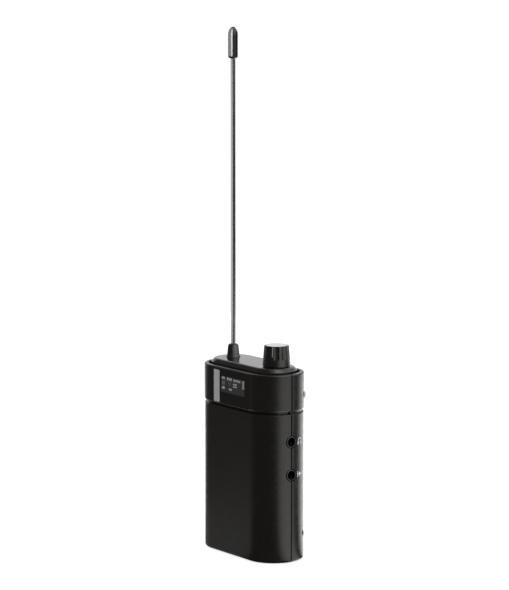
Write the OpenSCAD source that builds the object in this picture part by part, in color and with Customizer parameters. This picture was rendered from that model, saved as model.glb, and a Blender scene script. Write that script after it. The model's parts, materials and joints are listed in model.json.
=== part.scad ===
// Belt-worn radio receiver: round-ended case, swing-down battery cover, whip antenna, sprung belt clip.
// Origin at the centre of the flat base. X runs across the front, +Y is the back, +Z is up. Millimetres.

/* [Case] */
// Width of the case below the head
body_w = 58; // [57:0.5:60]
// Thickness of the case below the head, also the diameter of its round ends
body_d = 27.4; // [27.2:0.1:28]
// Wall of the moulded shells
wall = 1.7; // [1.5:0.1:1.8]
// Height of the battery cover's top edge
cover_z = 68.3; // [67.9:0.1:68.7]
// Width of the groove under the head
groove_h = 1.1; // [1:0.1:1.4]
// Depth of that groove in the rear shell
groove_depth = 0.9; // [0.6:0.1:1]
// Height of the head from the groove to the rim
head_h = 17.1; // [16.8:0.1:18]
// How far the head stands out past the body on each side
head_grow = 0.2; // [0.1:0.05:0.4]
// Rounding of the base edge
base_r = 1.2; // [0.6:0.1:1.4]
// Rounding of the rim's outer edge
rim_r = 0.7; // [0.3:0.1:0.9]
// Rounding of the body's edge under the groove
lip_r = 0.4; // [0.2:0.05:0.5]
// Rounding of the head's lower edge over the groove
head_lip_r = 0.9; // [0.4:0.1:0.9]
// Width of the reveal along the joint of the front and rear shells
seam_w = 0.6; // [0.4:0.1:0.8]

/* [Top cap] */
// Height of the plateau above the rim
cap_rise = 2.35; // [2:0.05:2.8]
// Distance from the case side to the cap's upright side
cap_inset = 3; // [2.8:0.1:3.2]
// Height of that upright side above the rim
cap_step = 0.65; // [0.3:0.05:0.7]
// Angle of the cap's slope to the plateau
cap_slope = 48; // [42:1:55]
// Rounding of the plateau's edge
cap_edge_r = 1.8; // [1:0.1:2]

/* [Antenna] */
// Distance of the antenna from the middle, to the left
antenna_off = 16.2; // [15:0.1:16.6]
// Height of the antenna above the plateau
antenna_h = 152.2; // [80:0.2:180]
// Diameter of the plated rod
rod_d = 2.2; // [1.6:0.1:2.4]
// Diameter of the moulded tip
tip_d = 4.5; // [4:0.1:6]
// Length of the moulded tip
tip_len = 14.5; // [12:0.5:20]
// Diameter of the boot at its foot
boot_d = 6.5; // [6.2:0.1:7]
// Diameter of the boot at its top
boot_top_d = 5; // [4.6:0.1:5.2]
// Height of the boot
boot_h = 6.2; // [5:0.1:10]

/* [Knob] */
// Distance of the knob from the middle, to the right
knob_off = 17.5; // [17:0.1:17.6]
// Diameter of the knob at its foot
knob_d = 12.7; // [12.4:0.1:13]
// Diameter of the knob at its top
knob_top_d = 11.2; // [10.8:0.1:11.6]
// Height of the knob
knob_h = 9.6; // [9:0.1:10]
// Number of flutes round the knob
flutes = 10; // [6:1:12]
// Direction of the pointer at rest, from +X towards +Y
pointer_angle = -54.5; // [-90:0.5:0]

/* [Sockets] */
// Height of the headphone socket
headphone_z = 55.7; // [54:0.1:58]
// Height of the line socket
line_z = 40.4; // [39:0.1:42]
// Bore of the sockets
socket_d = 3.6; // [3.55:0.05:3.7]
// Depth of the sockets' bore behind the mouth
socket_depth = 12.1; // [11:0.1:12.4]
// Diameter of the wider mouth in front of the bore
socket_mouth_d = 4.2; // [3.9:0.1:4.4]
// Hole in the case round each socket
socket_hole_d = 5.9; // [5.6:0.1:6.2]

/* [Display] */
// Width of the glossy panel
panel_w = 30; // [28:0.2:30.2]
// Height of the glossy panel
panel_h = 15.3; // [14.4:0.1:15.5]
// Thickness of the glossy panel
panel_t = 0.8; // [0.6:0.1:0.9]
// Width of the display's lit area
screen_w = 18.2; // [14:0.2:19]
// Height of the display's lit area
screen_h = 7; // [5:0.2:8]

/* [Cells] */
// Diameter of an AA cell
cell_d = 14.2; // [13.8:0.1:14.4]
// Length of an AA cell over its button
cell_len = 50.5; // [49.8:0.1:50.5]

/* [Belt clip] */
// Width of the clip's lever at its hinge
clip_w = 22; // [20:0.5:22.5]
// Width of the whole hinge
hinge_w = 30.6; // [30:0.2:32]
// Free space for the belt between the lever and the case
belt_gap = 3.15; // [2.6:0.05:3.4]
// Thickness of the lever
clip_t = 1.3; // [1:0.1:1.5]

/* [Keys] */
// Diameter of a menu key
key_d = 4.4; // [4:0.1:4.8]
// Travel of a menu key
key_travel = 0.5; // [0.3:0.05:0.6]

/* [Hidden] */
$fn = 64;

// Case levels and radii
body_r = body_d / 2;
spine = (body_w - body_d) / 2;
head_z = cover_z + groove_h;
rim_z = head_z + head_h;
top_z = rim_z + cap_rise;
head_r = body_r + head_grow;
inner_r = body_r - wall;
neck_lap = 1;
joint_gap = 0.05;
seam_depth = 0.6;

// Reach of the largest cutting shapes, reach of the others past a face, and depth of a rib's root in a wall
far = 200;
over = 1;
root = 0.4;

// Skirt of the head that stands behind the cover's top edge
skirt_gap = 0.25;
skirt_t = 1;
skirt_drop = 1.4;
skirt_lap = 0.5;
shelf_h = 1.2;

// Ledge under the top cap, and the cap's plate
ledge_z = rim_z - 2.2;
ledge_h = 1.2;
ledge_inset = 3.6;
ledge_bite = 0.2;
cap_plate = 2.2;
cap_wall = 1.7;
cap_hole_play = 0.1;
cap_r = body_r - cap_inset;
cap_foot_z = rim_z + cap_step;
cap_flat_r = cap_r - (top_z - cap_foot_z) / tan(cap_slope) - cap_edge_r * tan(cap_slope / 2);

// Cover hinge at the foot: opened to a right angle, the cover's face lies in the plane of the base
pivot_y = -10;
pivot_z = body_r + pivot_y;
pin_r = 0.8;
pin_play = 0.05;
cover_floor = 1.6;
lip_sweep = 4.8;
sweep_gap = 0.2;
knuckle_r = 1.75;
knuckle_web = 1.2;
knuckle_w = 2.4;
lug_x = 9.3;
ear_x = 12.1;
ear_slack = 0.3;
ear_foot = [-4.9, -2.5];
plate_inset = 2.7;
corner_sweep = -pivot_y - joint_gap - 0.02;
corner_y = -3;

// Catch at the cover's top edge
nub_x = 8;
nub_w = 4;
nub_h = 0.8;
nub_reach = 0.5;
nub_drop = 1.3;
nub_room = [0.4, 0.3];
nub_slot_top = cover_z - 0.2;

// Screws from the back
screw_x = 24;
screw_high_z = 76.4;
screw_low_z = 12;
screw_boss_r = 3.2;
front_boss_r = 2.6;
screw_head_r = 1.9;
screw_head_h = 1.3;
screw_r = 0.9;
screw_seat_y = 8;
screw_len = 9;
screw_head_play = 0.2;
screw_play = 0.1;
pilot_depth = 8;
drive_half = [1.2, 0.2];
drive_depth = 0.8;

// Battery tray
tray_gap = 0.5;
tray_z = [8.4, 66];
tray_end = 1.2;
tray_left = -25.2;
tray_split = [5.2, 6.4];
tray_back_y = 4.7;
tray_right = 26.5;
tray_cap_y = -10.2;
rib_x = [-20, 0];
cell_r = cell_d / 2;
cell_y = -3.9;
cell_x = [-17.4, -2.7];
cell_play = 0.2;
button_r = 2.7;
button_h = 1.3;
foot_r = 0.5;
shoulder_r = 0.8;
button_edge_r = 0.4;
contact_t = 0.3;
contact_half = 4.8;
bridge_play = 0.1;
contact_z = [tray_z[0] + tray_end + contact_t, tray_z[1] - tray_end - contact_t];

// Main board, its posts on the tray, and the shield on its back
board_y = 3.1;
board_t = 1.2;
board_z = [17, 65.5];
board_x = [7.6, 25];
board_step = 0.4;
post_r = 1.5;
posts = [[10, board_z[0] + 4], [10, board_z[1] - 3], [22, board_z[1] - 3]];
shield_x = [9, 23];
shield_y = [board_y + board_t, board_y + board_t + 3];
shield_z = [26, 52];
shield_t = 0.3;
vent_r = 0.6;
vent_at = [11.5, 31];
vent_pitch = [3, 3.2];

// Display behind the panel
screen_x = 2.55;
screen_z = head_z + 9.35;
screen_margin = 0.8;
panel_corner = 0.8;
panel_drop = 0.3;
panel_play = 0.1;
display_y = [-inner_r + 1.6, -inner_r + 2.8];
display_half = 19.5;
display_z = [head_z + 2, rim_z - 3.6];
display_post_x = 17;
oled_border = [2, 2.2, 0.5];
oled_gap = 0.1;

// Key panel
key_panel_y = [-6.2, -5];
key_x = 14.5;
key_r = key_d / 2;
set_z = 32;
up_z = 26;
down_z = 20;
switch_h = 2;
switch_w = 4.5;
actuator_h = 0.4;
actuator_r = 0.9;
key_rise = 1.1;
key_play = 0.15;
key_flange_r = key_r + 0.5;
key_flange_y = [key_panel_y[1] + 0.15, key_panel_y[1] + 0.8];
key_stem_r = 1.1;
key_stem_end = board_y - switch_h - actuator_h - key_travel - 0.05;

// Sockets
socket_face = body_w / 2 - 0.05;
socket_collar_r = socket_hole_d / 2 - 0.3;
socket_body = [14, 26.6];
socket_half = 3.1;
socket_mouth = 2.25;
socket_edge_r = 0.35;
socket_lead = 0.3;
socket_hole_x = [body_w / 2 - 8, body_w / 2 + 2];
socket_bore_x = [socket_face - socket_mouth - socket_depth, socket_face - socket_mouth];

// Volume control
knob_gap = 0.2;
knob_z = top_z + knob_gap;
knob_r = knob_d / 2;
knob_top_r = knob_top_d / 2;
knob_slope = atan((knob_r - knob_top_r) / knob_h);
knob_edge = [0.25, 0.35];
skirt_share = 0.38;
flute_r = 3.2;
flute_depth = 0.4;
disc_r = knob_top_r - 0.55;
disc_t = 0.5;
shaft_r = 2;
shaft_play = 0.06;
bush_r = 3;
bush_h = 1.8;
pot_size = 9.8;
pot_h = 6.5;
pot_floor = 2;
nut_r = 4.27;
nut_h = 1.6;
nut_room = 0.4;
knob_roof = 2.2;
shaft_z = [top_z - cap_plate - pot_h + pot_floor + 0.1, knob_z + knob_h - knob_roof];
pointer_share = 0.5;
pointer_w = 0.4;
pointer_sunk = 0.5;
pointer_proud = 0.03;

// Antenna
antenna_x = -antenna_off;
rod_r = rod_d / 2;
rod_play = 0.02;
tip_socket = 9;
tip_r = tip_d / 2;
tip_edge_r = 1.1;
tip_side_z = tip_len - (3 - sqrt(2)) * tip_r;
ferrule_r = 2.6;
ferrule_h = 6;
ferrule_floor = 1;
ferrule_z = top_z - cap_plate - ferrule_h;
boot_foot_h = 0.3;
boot_neck = 0.35;
boot_flare_r = 0.9;
boot_flare = acos(1 - boot_neck / boot_flare_r);
boot_lip = 0.1;
boot_edge_r = boot_top_d / 2 - rod_r - boot_lip;

// Belt clip hinge and lever
barrel_r = 2.1;
clip_pin_r = 1;
clip_play = 0.05;
clip_pin_z = head_z + 4.4;
clip_pin_y = body_r + 2.5;
lever_y = body_r + belt_gap + clip_t / 2;
lever_low_z = 8;
lever_touch_z = 14;
lever_bend_z = 26;
lever_touch_y = body_r + 0.4 + clip_t / 2;
lever_flare = 1.8;
lever_foot_r = 4;
lever_foot_in = 7;
thumb_bend_z = clip_pin_z + 3.3;
thumb_z = clip_pin_z + 9;
thumb_w = 17;
thumb_r = 3;
thumb_flare = 1.2;
shoulder_z = [clip_pin_z + 1, clip_pin_z + 2.5];
bracket_t = 1.1;
bracket_z = [head_z + 0.7, head_z + 10.5];
hinge_gap = 0.3;
barrel_room = 0.6;
window_x = 4.3;
window_z = [clip_pin_z - 4.7, clip_pin_z + 3.3];
bracket_window_z = [clip_pin_z - 3.05, clip_pin_z + barrel_r + barrel_room];
clip_screw_x = 11.8;
clip_screw_z = clip_pin_z + 3.9;
clip_screw_head_r = 1.5;
clip_screw_head_h = 0.9;
clip_screw_end = body_r - 4;
clip_boss_end = body_r - 5;
clip_boss_r = 2.4;

// Springs: wire radius, and points round one turn
coil_wire_r = 0.3;
coil_r = 1.55;
coil_pitch = 1.1;
coil_turns = 4.5;
coil_leg = 2.6;
cone_wire_r = 0.4;
cone_r = [4.5, 3];
cone_turns = 2.5;
turn_steps = 8;
wire_sides = 6;
cone_end_gap = 0.05;
cone_h = contact_z[1] - contact_z[0] - cell_len - 2 * (cone_wire_r + cone_end_gap);
cone_path = coil_path(cone_r, cone_h, cone_turns, 0, 0);
coil_path_x = coil_path([coil_r, coil_r], coil_pitch * coil_turns, coil_turns, 90, coil_leg);
lever_levels = concat(
    [for (z = [lever_low_z:1:lever_bend_z]) z],
    [thumb_bend_z],
    [for (i = [1:6]) thumb_bend_z + (thumb_z - thumb_bend_z) * i / 6]
);

// Points along an arc about c
function arc(c, r, a0, a1, n = 6) =
    [for (i = [0:n]) c + r * [cos(a0 + (a1 - a0) * i / n), sin(a0 + (a1 - a0) * i / n)]];

// Half outline of a slab of half thickness r, with rounded lower and upper outer edges
function slab_outline(r, z0, z1, r0, r1) = concat(
    [[0, z0]],
    r0 > 0 ? arc([r - r0, z0 + r0], r0, -90, 0) : [[r, z0]],
    r1 > 0 ? arc([r - r1, z1 - r1], r1, 0, 90) : [[r, z1]],
    [[0, z1]]
);

function mirrored(points) = [for (i = [len(points) - 1:-1:0]) [-points[i][0], points[i][1]]];

function rounded_rect(w, h, r) = concat(
    arc([w / 2 - r, h / 2 - r], r, 0, 90),
    arc([r - w / 2, h / 2 - r], r, 90, 180),
    arc([r - w / 2, r - h / 2], r, 180, 270),
    arc([w / 2 - r, r - h / 2], r, 270, 360)
);

module box(x, y, z) {
    translate([x[0], y[0], z[0]]) cube([x[1] - x[0], y[1] - y[0], z[1] - z[0]]);
}

module along_x(x, y, z, r) {
    translate([x[0], y, z]) rotate([0, 90, 0]) cylinder(h = x[1] - x[0], r = r);
}

module along_y(x, y, z, r) {
    translate([x, y[0], z]) rotate([-90, 0, 0]) cylinder(h = y[1] - y[0], r = r);
}

module along_z(x, y, z, r) {
    translate([x, y, z[0]]) cylinder(h = z[1] - z[0], r = r);
}

// Stands a Y-Z outline up along X, or an X-Z outline up along Y
module extrude_x(x) {
    translate([x[0], 0, 0]) rotate([90, 0, 90]) linear_extrude(x[1] - x[0]) children();
}

module extrude_y(y) {
    translate([0, y[1], 0]) rotate([90, 0, 0]) linear_extrude(y[1] - y[0]) children();
}

// Sweeps a half outline round the case's round-ended plan
module pill(points) {
    side = [for (p = points) if (p[0] > 0) p];
    extrude_x([-spine, spine]) polygon(concat(side, mirrored(side)));
    for (end = [-1, 1])
        translate([end * spine, 0, 0]) rotate([0, 0, -90 * end]) rotate_extrude(angle = 180) polygon(points);
}

module slab(inset, z0, z1, r0 = 0, r1 = 0) {
    pill(slab_outline(body_r - inset, z0, z1, r0, r1));
}

// The whole case as one closed block with its groove
module case_block() {
    slab(0, 0, cover_z, base_r, lip_r);
    slab(groove_depth, cover_z - neck_lap, head_z + neck_lap);
    slab(-head_grow, head_z, rim_z, head_lip_r, rim_r);
}

module front_side() {
    box([-far, far], [-far, -joint_gap], [-far, far]);
}

module rear_side() {
    box([-far, far], [joint_gap, far], [-far, far]);
}

module seam_reveal() {
    for (side = [-1, 1])
        box(side > 0 ? [body_w / 2 - seam_depth, far] : [-far, seam_depth - body_w / 2],
            [-seam_w / 2, seam_w / 2], [-far, far]);
}

module socket_holes() {
    for (z = [headphone_z, line_z])
        along_x(socket_hole_x, 0, z, socket_hole_d / 2);
}

module cap_ledge() {
    difference() {
        slab(wall - ledge_bite, ledge_z - ledge_h, ledge_z);
        slab(ledge_inset, ledge_z - ledge_h - over, ledge_z + over);
    }
}

module at_case_screws(low, high) {
    for (side = [-1, 1]) {
        translate([side * screw_x, 0, low]) children();
        translate([side * screw_x, 0, high]) children();
    }
}

// Floor of the rear shell that reaches forward under the cells, with its hollow front edge
module floor_tongue() {
    difference() {
        intersection() {
            slab(plate_inset, 0, wall);
            box([-far, far], [-far, over], [-over, far]);
        }
        along_x([-far, far], pivot_y, pivot_z, lip_sweep + sweep_gap);
    }
}

module hinge_ears() {
    for (side = [-1, 1]) {
        x = side > 0 ? [ear_x, ear_x + knuckle_w] : [-ear_x - knuckle_w, -ear_x];
        difference() {
            union() {
                along_x(x, pivot_y, pivot_z, knuckle_r);
                box(x, [pivot_y, ear_foot[1]], [pivot_z - knuckle_web, pivot_z + knuckle_web]);
                box(x, ear_foot, [wall / 2, pivot_z + knuckle_web]);
            }
            along_x([x[0] - over, x[1] + over], pivot_y, pivot_z, pin_r + pin_play);
        }
    }
}

module rear_shell() color("#232427") {
    difference() {
        intersection() {
            case_block();
            union() {
                difference() {
                    rear_side();
                    slab(wall, wall, rim_z + over);
                }
                intersection() {
                    cap_ledge();
                    rear_side();
                }
                for (side = [-1, 1]) {
                    along_y(side * screw_x, [joint_gap, far], screw_high_z, screw_boss_r);
                    along_y(side * screw_x, [tray_back_y, far], screw_low_z, screw_boss_r);
                    along_y(side * clip_screw_x, [clip_boss_end, far], clip_screw_z, clip_boss_r);
                }
                for (x = rib_x)
                    box([x - wall / 2, x + wall / 2], [tray_back_y, far], [wall, tray_z[1]]);
            }
        }
        seam_reveal();
        socket_holes();
        at_case_screws(screw_low_z, screw_high_z) {
            along_y(0, [screw_seat_y, far], 0, screw_head_r + screw_head_play);
            along_y(0, [-over, far], 0, screw_r + screw_play);
        }
        for (side = [-1, 1])
            along_y(side * clip_screw_x, [clip_screw_end, far], clip_screw_z, screw_r);
    }
    floor_tongue();
    hinge_ears();
}

module panel_outline(grow) {
    translate([0, (head_z + rim_z) / 2 - panel_drop])
        polygon(rounded_rect(panel_w + 2 * grow, panel_h + 2 * grow, panel_corner));
}

module screen_window()
    box([screen_x - screen_w / 2 - screen_margin, screen_x + screen_w / 2 + screen_margin],
        [-far, -inner_r + over],
        [screen_z - screen_h / 2 - screen_margin, screen_z + screen_h / 2 + screen_margin]);

module head_front() color("#1e1f22") difference() {
    intersection() {
        union() {
            slab(-head_grow, head_z, rim_z, head_lip_r, rim_r);
            slab(wall + skirt_gap, cover_z - skirt_drop, head_z + skirt_lap);
        }
        union() {
            difference() {
                front_side();
                slab(wall, head_z + shelf_h, rim_z + over);
                slab(wall + skirt_gap + skirt_t, cover_z - skirt_drop - over, head_z + shelf_h + 0.1);
            }
            intersection() {
                cap_ledge();
                front_side();
            }
            for (side = [-1, 1]) {
                along_y(side * screw_x, [-far, -joint_gap], screw_high_z, front_boss_r);
                along_y(side * display_post_x, [-far, display_y[0] - 0.02], screen_z, post_r);
            }
        }
    }
    seam_reveal();
    extrude_y([-far, panel_t - head_r]) panel_outline(panel_play);
    screen_window();
    for (side = [-1, 1]) {
        along_y(side * screw_x, [-pilot_depth, over], screw_high_z, screw_r);
        box([side * nub_x - nub_w / 2 - nub_room[0], side * nub_x + nub_w / 2 + nub_room[0]],
            [-far, nub_reach + nub_room[1] - inner_r], [-far, nub_slot_top]);
    }
}

module battery_cover() color("#202124") {
    difference() {
        slab(0, 0, cover_z, base_r, lip_r);
        box([-far, far], [-joint_gap, far], [-far, far]);
        slab(wall, cover_floor, cover_z + over);
        difference() {
            intersection() {
                slab(wall, -over, cover_floor + 0.1);
                box([-far, far], [pivot_y, over], [-far, far]);
            }
            along_x([-far, far], pivot_y, pivot_z, lip_sweep);
        }
        difference() {
            box([-far, far], [corner_y, over], [-over, pivot_z]);
            along_x([-far, far], pivot_y, pivot_z, corner_sweep);
        }
        seam_reveal();
        socket_holes();
        for (side = [-1, 1])
            box(side > 0 ? [ear_x - ear_slack, ear_x + knuckle_w + ear_slack]
                    : [-ear_x - knuckle_w - ear_slack, ear_slack - ear_x],
                [-inner_r, 0], [-over, cover_floor + 0.1]);
    }
    for (side = [-1, 1]) {
        x = side > 0 ? [lug_x, lug_x + knuckle_w] : [-lug_x - knuckle_w, -lug_x];
        difference() {
            union() {
                along_x(x, pivot_y, pivot_z, knuckle_r);
                box(x, [-inner_r - root, pivot_y], [pivot_z - knuckle_web, pivot_z + knuckle_web]);
            }
            along_x([x[0] - over, x[1] + over], pivot_y, pivot_z, pin_r);
        }
        box([side * nub_x - nub_w / 2, side * nub_x + nub_w / 2],
            [-inner_r - root, nub_reach - inner_r], [cover_z - nub_drop, cover_z - nub_drop + nub_h]);
    }
}

module cover_pins() color("silver")
    for (side = [-1, 1])
        along_x(side > 0 ? [lug_x, ear_x + knuckle_w] : [-ear_x - knuckle_w, -lug_x],
            pivot_y, pivot_z, pin_r);

// Plateau on a sloping side, with a rounded edge between them
module top_cap() color("#2a2b2e") difference() {
    pill(concat(
        [[0, ledge_z], [cap_r, ledge_z], [cap_r, cap_foot_z]],
        arc([cap_flat_r, top_z - cap_edge_r], cap_edge_r, 90 - cap_slope, 90),
        [[0, top_z]]
    ));
    slab(cap_inset + cap_wall, ledge_z - over, top_z - cap_plate);
    along_z(knob_off, 0, [ledge_z, top_z + over], bush_r + cap_hole_play);
    along_z(antenna_x, 0, [ledge_z, top_z + over], rod_r + cap_hole_play);
}

module display_panel() color("#0c0d0f")
    extrude_y([-head_r, panel_t - head_r]) panel_outline(0);

module oled_module() color("#102030")
    box([screen_x - screen_w / 2 - oled_border[0], screen_x + screen_w / 2 + oled_border[0]],
        [-inner_r + oled_gap, display_y[0]],
        [screen_z - screen_h / 2 - oled_border[1], screen_z + screen_h / 2 + oled_border[2]]);

module display_board() color("darkgreen")
    box([-display_half, display_half], display_y, display_z);

module main_board() color("darkgreen")
    box(board_x, [board_y, board_y + board_t], board_z);

module rf_shield() color("silver") difference() {
    box(shield_x, shield_y, shield_z);
    box(shield_x + [shield_t, -shield_t], shield_y - [over, shield_t], shield_z + [shield_t, -shield_t]);
    for (i = [0:3], j = [0:5])
        along_y(vent_at[0] + vent_pitch[0] * i, [board_y, far], vent_at[1] + vent_pitch[1] * j, vent_r);
}

module tact_switches() color("#303030")
    for (z = [set_z, up_z, down_z]) {
        box([key_x - switch_w / 2, key_x + switch_w / 2], [board_y - switch_h, board_y],
            [z - switch_w / 2, z + switch_w / 2]);
        along_y(key_x, [board_y - switch_h - actuator_h, board_y - switch_h + 0.2], z, actuator_r);
    }

module jack(z) difference() {
    union() {
        box(socket_body, [-socket_half, board_y], [z - socket_half, z + socket_half]);
        translate([socket_body[1] - over, 0, z]) rotate([0, 90, 0]) rotate_extrude() polygon(slab_outline(
            socket_collar_r, 0, socket_face - socket_body[1] + over, 0, socket_edge_r));
    }
    along_x([socket_bore_x[0], socket_face], 0, z, socket_d / 2);
    translate([socket_bore_x[1], 0, z]) rotate([0, 90, 0])
        cylinder(h = socket_lead, r1 = socket_d / 2, r2 = socket_mouth_d / 2);
    along_x([socket_bore_x[1] + socket_lead, socket_face + over], 0, z, socket_mouth_d / 2);
}

module headphone_jack() color("#2c2c2e") jack(headphone_z);

module line_jack() color("#2c2c2e") jack(line_z);

module battery_tray() color("#2f3033") difference() {
    intersection() {
        slab(wall + tray_gap, tray_z[0], tray_z[1]);
        union() {
            box([tray_left, tray_split[1]], [cell_y, tray_back_y], tray_z);
            for (z = [tray_z[0], tray_z[1] - tray_end])
                box([tray_left, tray_split[1]], [tray_cap_y, tray_back_y], [z, z + tray_end]);
            box([tray_split[0], tray_right], key_panel_y, tray_z);
            box(tray_split, [key_panel_y[0], tray_back_y], tray_z);
            box([tray_split[1] - over, tray_right], [board_y + board_step, tray_back_y],
                [tray_z[0], board_z[0] - over]);
            for (p = posts)
                along_y(p[0], [key_panel_y[0] + root, board_y], p[1], post_r);
        }
    }
    for (x = cell_x)
        along_z(x, cell_y, [tray_z[0] + tray_end, tray_z[1] - tray_end], cell_r + cell_play);
    for (z = [set_z, up_z, down_z])
        along_y(key_x, [-far, key_panel_y[1] + over], z, key_r + key_play);
    for (side = [-1, 1])
        along_y(side * screw_x, [screw_seat_y - screw_len - over, far], screw_low_z, screw_r);
    bridge_plate(bridge_play);
}

// One cell standing on z, with its button at the top
module cell() {
    can = cell_len - button_h;
    rotate_extrude() polygon(concat(
        [[0, 0]],
        arc([cell_r - foot_r, foot_r], foot_r, -90, 0),
        arc([cell_r - shoulder_r, can - shoulder_r], shoulder_r, 0, 90),
        [[button_r, can]],
        arc([button_r - button_edge_r, cell_len - button_edge_r], button_edge_r, 0, 90),
        [[0, cell_len]]
    ));
}

module cell_left() color("#7c8a94")
    translate([cell_x[0], cell_y, contact_z[1] - cell_len]) cell();

module cell_right() color("#7c8a94")
    translate([cell_x[1], cell_y, contact_z[0] + cell_len]) mirror([0, 0, 1]) cell();

module bridge_plate(grow)
    box([cell_x[0] - contact_half - grow, cell_x[1] + contact_half + grow],
        [cell_y - contact_half - grow, cell_y + contact_half + grow],
        [contact_z[0] - contact_t, contact_z[0] + grow]);

module contact_bridge() color("silver") bridge_plate(0);

module terminal_contacts() color("silver")
    for (x = cell_x)
        box([x - contact_half, x + contact_half], [cell_y - contact_half, cell_y + contact_half],
            [contact_z[1], contact_z[1] + contact_t]);

// Middle points of a coil about Z, from radius r[0] to r[1], with straight legs of length leg at its ends
function coil_turn(i, steps, a0, turns) = a0 + 360 * turns * i / steps;

function coil_at(i, steps, r, h, turns, a0) =
    let (a = coil_turn(i, steps, a0, turns), q = r[0] + (r[1] - r[0]) * i / steps)
    [q * cos(a), q * sin(a), h * i / steps];

function coil_ring(middle, a, wire_r) =
    [for (k = [0:wire_sides - 1])
        let (b = 360 * k / wire_sides)
        middle + wire_r * [cos(b) * cos(a), cos(b) * sin(a), sin(b)]];

function coil_path(r, h, turns, a0, leg) =
    let (steps = turns * turn_steps, a1 = coil_turn(steps, steps, a0, turns))
    concat(
        leg > 0 ? [[coil_at(0, steps, r, h, turns, a0) - leg * [-sin(a0), cos(a0), 0], a0]] : [],
        [for (i = [0:steps]) [coil_at(i, steps, r, h, turns, a0), coil_turn(i, steps, a0, turns)]],
        leg > 0 ? [[coil_at(steps, steps, r, h, turns, a0) + leg * [-sin(a1), cos(a1), 0], a1]] : []
    );

function least_gap(path, wire_r) =
    min([for (i = [0:len(path) - 1], j = [0:len(path) - 1])
        if (j - i > turn_steps / 2) norm(path[i][0] - path[j][0])]) - 2 * wire_r;

module wire_tube(path, wire_r) {
    rings = len(path);
    points = [for (p = path) each coil_ring(p[0], p[1], wire_r)];
    sides = [for (i = [0:rings - 2], k = [0:wire_sides - 1])
        let (a = i * wire_sides + k, b = i * wire_sides + (k + 1) % wire_sides)
        each [[a, a + wire_sides, b], [b, a + wire_sides, b + wire_sides]]];
    first = [for (k = [1:wire_sides - 2]) [0, k, k + 1]];
    last_at = (rings - 1) * wire_sides;
    last = [for (k = [1:wire_sides - 2]) [last_at, last_at + k + 1, last_at + k]];
    polyhedron(points, concat(first, sides, last));
}

echo(battery_spring_gap = least_gap(cone_path, cone_wire_r));
echo(clip_spring_gap = least_gap(coil_path_x, coil_wire_r));

module battery_springs() color("silver") {
    lift = cone_wire_r + cone_end_gap;
    translate([cell_x[0], cell_y, contact_z[0] + lift]) wire_tube(cone_path, cone_wire_r);
    translate([cell_x[1], cell_y, contact_z[1] - lift]) rotate([180, 0, 0])
        wire_tube(cone_path, cone_wire_r);
}

// Foot that flares out of the plateau, and a domed top round the rod
module antenna_boot() color("#18181a") translate([antenna_x, 0, top_z])
    rotate_extrude() polygon(concat(
        [[rod_r + rod_play, 0], [boot_d / 2, 0]],
        arc([boot_d / 2 - boot_neck + boot_flare_r, boot_foot_h + boot_flare_r * sin(boot_flare)],
            boot_flare_r, 180 + boot_flare, 186),
        arc([boot_top_d / 2 - boot_edge_r, boot_h - boot_edge_r], boot_edge_r, 6, 90),
        [[rod_r + rod_play, boot_h]]
    ));

module antenna_rod() color("#26272a")
    along_z(antenna_x, 0, [ferrule_z + ferrule_floor, top_z + antenna_h - tip_len + tip_socket], rod_r);

// Oval dome: an arc of twice the tip's radius, then a smaller one that closes it
module antenna_tip() color("#121214") translate([antenna_x, 0, top_z + antenna_h - tip_len])
    rotate_extrude() polygon(concat(
        [[rod_r + rod_play, 0]],
        arc([tip_r - tip_edge_r, tip_edge_r], tip_edge_r, -90, 0),
        arc([-tip_r, tip_side_z], 2 * tip_r, 0, 45),
        arc([0, tip_side_z + tip_r], (2 - sqrt(2)) * tip_r, 45, 90),
        [[0, tip_socket + rod_play], [rod_r + rod_play, tip_socket + rod_play]]
    ));

module antenna_base() color("#b59a55") difference() {
    along_z(antenna_x, 0, [ferrule_z, ferrule_z + ferrule_h], ferrule_r);
    along_z(antenna_x, 0, [ferrule_z + ferrule_floor, top_z], rod_r + rod_play);
}

module pot_body() color("#5a6a52") difference() {
    union() {
        box([knob_off - pot_size / 2, knob_off + pot_size / 2], [-pot_size / 2, pot_size / 2],
            [top_z - cap_plate - pot_h, top_z - cap_plate]);
        along_z(knob_off, 0, [top_z - cap_plate - over, top_z + bush_h], bush_r);
    }
    along_z(knob_off, 0, [top_z - cap_plate - pot_h + pot_floor, top_z + far], shaft_r + shaft_play);
}

module pot_nut() color("silver") difference() {
    along_z(knob_off, 0, [top_z, top_z + nut_h], nut_r, $fn = 6);
    along_z(knob_off, 0, [top_z - over, top_z + far], bush_r + 0.02);
}

module pot_shaft() color("#c8c8c8")
    along_z(knob_off, 0, shaft_z, shaft_r);

module pointer_bar() rotate([0, 0, pointer_angle])
    translate([knob_r - (knob_r - knob_top_r) * pointer_share, 0, knob_h * pointer_share])
        rotate([0, -knob_slope, 0])
            box([-pointer_sunk, pointer_proud], [-pointer_w / 2, pointer_w / 2],
                [0, knob_h * (1 - pointer_share) - knob_edge[0]]);

module volume_knob() color("#1a1a1c") translate([knob_off, 0, knob_z]) difference() {
    rotate_extrude() polygon(concat(
        [[0, 0], [knob_r - knob_edge[0], 0], [knob_r, knob_edge[0]]],
        arc([knob_top_r - knob_edge[1], knob_h - knob_edge[1]], knob_edge[1], 5, 90, 4),
        [[0, knob_h]]
    ));
    along_z(0, 0, [-over, bush_h + nut_room], nut_r + nut_room);
    along_z(0, 0, [-over, shaft_z[1] - knob_z], shaft_r);
    along_z(0, 0, [knob_h - disc_t, knob_h + over], disc_r);
    for (i = [0:flutes - 1])
        rotate([0, 0, pointer_angle + 360 * (i + 0.5) / flutes])
            translate([knob_r - (knob_r - knob_top_r) * skirt_share - flute_depth + flute_r, 0,
                knob_h * skirt_share])
                rotate([0, -knob_slope, 0]) cylinder(h = knob_h, r = flute_r);
    pointer_bar();
}

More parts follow.
